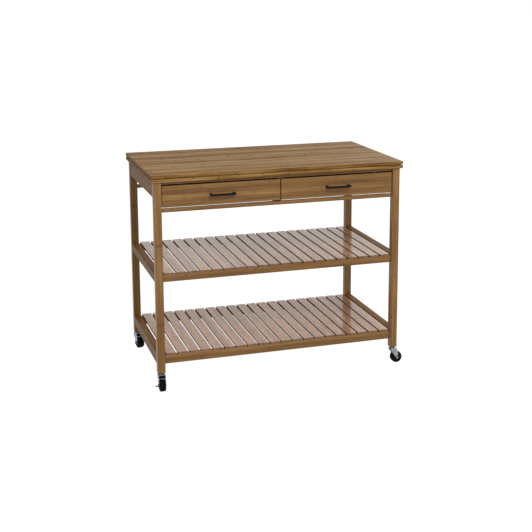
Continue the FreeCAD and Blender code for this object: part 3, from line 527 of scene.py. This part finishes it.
def make_caster(name, leg, turn):
    """One braked swivel caster under the middle of a leg."""
    low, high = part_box(leg)
    spot = ((low[0] + high[0]) / 2, (low[1] + high[1]) / 2, 0)
    tag = f"caster_{name}"
    tyre = turned(f"{tag}_tyre", eased(TYRE_PROFILE, 0.9, 4) * MM, black_rubber, True, AXLE_PLACE, spot,
                  turn, 96)
    core = turned(f"{tag}_core", eased(CORE_PROFILE, 0.6, 4) * MM, black_core, True, AXLE_PLACE, spot, turn,
                  72)
    fork = fork_sheet(f"{tag}_pressed_fork", spot, turn)
    race = turned(f"{tag}_raceway", eased(RACE_PROFILE, 0.6, 4) * MM, bright_zinc, spot=spot, turn=turn,
                  steps=56)
    collar = turned(f"{tag}_collar", eased(COLLAR_PROFILE, 0.7, 5) * MM, black_oxide, spot=spot, turn=turn,
                    steps=64)
    pin = domed_pin(f"{tag}_pin", spot, turn)
    plug = nose_plug(f"{tag}_nose_stop", spot, turn)
    shoe = brake_shoe(f"{tag}_brake_shoe", spot, turn)
    arm = plate(f"{tag}_lever_arm", lever_outline(), -15.95, 1.5, spot, turn, dull_zinc_and_fork_shade)
    tab = lever_tab(f"{tag}_lever_pad", spot, turn)
    for piece, body, node, slot in ((tyre, f"wheel_{name}", "wheel", "caster_plastic"),
                                    (core, f"wheel_{name}", None, "caster_plastic"),
                                    (fork, f"swivel_{name}", "fork", "zinc_steel"),
                                    (race, f"swivel_{name}", None, "zinc_steel"),
                                    (pin, f"swivel_{name}", "axle", "zinc_steel"),
                                    (plug, f"swivel_{name}", None, "caster_plastic"),
                                    (shoe, f"swivel_{name}", None, "caster_plastic"),
                                    (collar, "cart", "mount", "black_collar"),
                                    (arm, f"lever_{name}", "brake_lever", "dark_steel"),
                                    (tab, f"lever_{name}", None, "dark_steel")):
        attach(piece, body)
        if node:
            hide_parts(f"{tag}_{node}")


for caster, (leg, turn) in CASTERS.items():
    make_caster(caster, leg, turn)


# ---------------------------------------------------------------- floor, light and camera
def plainly_seen(tree):
    """1 for camera, glossy and transmission rays, 0 for the rays that only carry light."""
    path = add(tree, "LightPath").outputs
    seen = add(tree, "Math", {0: path["Is Camera Ray"], 1: path["Is Glossy Ray"]}, operation="ADD")
    return add(tree, "Math", {0: seen.outputs[0], 1: path["Is Transmission Ray"]}, operation="ADD",
               use_clamp=True).outputs[0]


def pale_stage(name, strength, share):
    """Near-white sweep: matt paint that keeps shadows, lifted by a glow that cameras and gloss see."""
    material, tree = new_material(name)
    place = add(tree, "TexCoord").outputs["Object"]
    cloud = add(tree, "TexNoise", {"Vector": place, "Scale": 3.0, "Detail": 2.0})
    tint = add(tree, "MixRGB", {"Fac": cloud.outputs["Fac"], "Color1": linear("#E4E4E4"),
                                "Color2": linear("#EEEEEE")})
    paint = add(tree, "BsdfDiffuse", {"Color": tint.outputs[0]})
    dim = add(tree, "BsdfDiffuse", {"Color": linear("#8C8C8C")})
    glow = add(tree, "Emission", {"Color": (1, 1, 1, 1), "Strength": strength})
    both = add(tree, "MixShader", {"Fac": share, 1: paint.outputs[0], 2: glow.outputs[0]})
    shown = add(tree, "MixShader", {"Fac": plainly_seen(tree), 1: dim.outputs[0], 2: both.outputs[0]})
    add(tree, "OutputMaterial", {"Surface": shown.outputs[0]})
    return material


FLOOR_HALF = 30.0  # metres
across, along = np.meshgrid([-FLOOR_HALF, FLOOR_HALF], [-FLOOR_HALF, FLOOR_HALF])
floor_grid = np.stack([across, along, np.zeros((2, 2))], axis=-1)
floor = surface("studio_floor", floor_grid, pale_stage("painted_floor_pale", 1.25, 0.8), smooth=False)
if floor.data.polygons[0].normal.z < 0:
    floor.data.flip_normals()

world = bpy.data.worlds.new("studio_air")
bpy.context.scene.world = world
world.use_nodes = True
world.node_tree.nodes.clear()
air = world.node_tree
fill = add(air, "Background", {"Color": (1.0, 1.0, 1.0, 1), "Strength": 0.34})
white = add(air, "Background", {"Color": (1, 1, 1, 1), "Strength": 1.0})
mixed = add(air, "MixShader", {"Fac": plainly_seen(air), 1: fill.outputs[0], 2: white.outputs[0]})
add(air, "OutputWorld", {"Surface": mixed.outputs[0]})


def lamp(name, place, target, size, watts):
    """A square soft box aimed at a point."""
    light = bpy.data.lights.new(name, "AREA")
    light.shape = "SQUARE"
    light.size = size
    light.energy = watts
    holder = bpy.data.objects.new(name, light)
    bpy.context.scene.collection.objects.link(holder)
    holder.location = place
    holder.rotation_euler = (Vector(target) - Vector(place)).to_track_quat("-Z", "Y").to_euler()
    return holder


lamp("key_softbox", (0.3, -3.6, 3.0), (0, 0, 0.55), 2.0, 92)
lamp("fill_softbox", (-2.8, -2.8, 1.6), (0, 0, 0.5), 2.4, 26)
lamp("back_softbox", (3.0, 3.6, 2.2), (0.4, 0.1, 0.8), 1.4, 24)

camera_data = bpy.data.cameras.new("studio_camera")
camera_data.sensor_width = 36
camera_data.lens = 71.47
camera_data.shift_x = -0.0376
camera_data.shift_y = -0.1617
camera = bpy.data.objects.new("studio_camera", camera_data)
bpy.context.scene.collection.objects.link(camera)
yaw, pitch, roll = 0.312, 0.187, -0.002
camera.matrix_world = (Matrix.Translation((-1.28749, -4.34714, 1.65493)) @ Matrix.Rotation(-yaw, 4, "Z")
                       @ Matrix.Rotation(math.pi / 2 - pitch, 4, "X") @ Matrix.Rotation(roll, 4, "Z"))
bpy.context.scene.camera = camera
bpy.context.scene.view_settings.view_transform = "Standard"
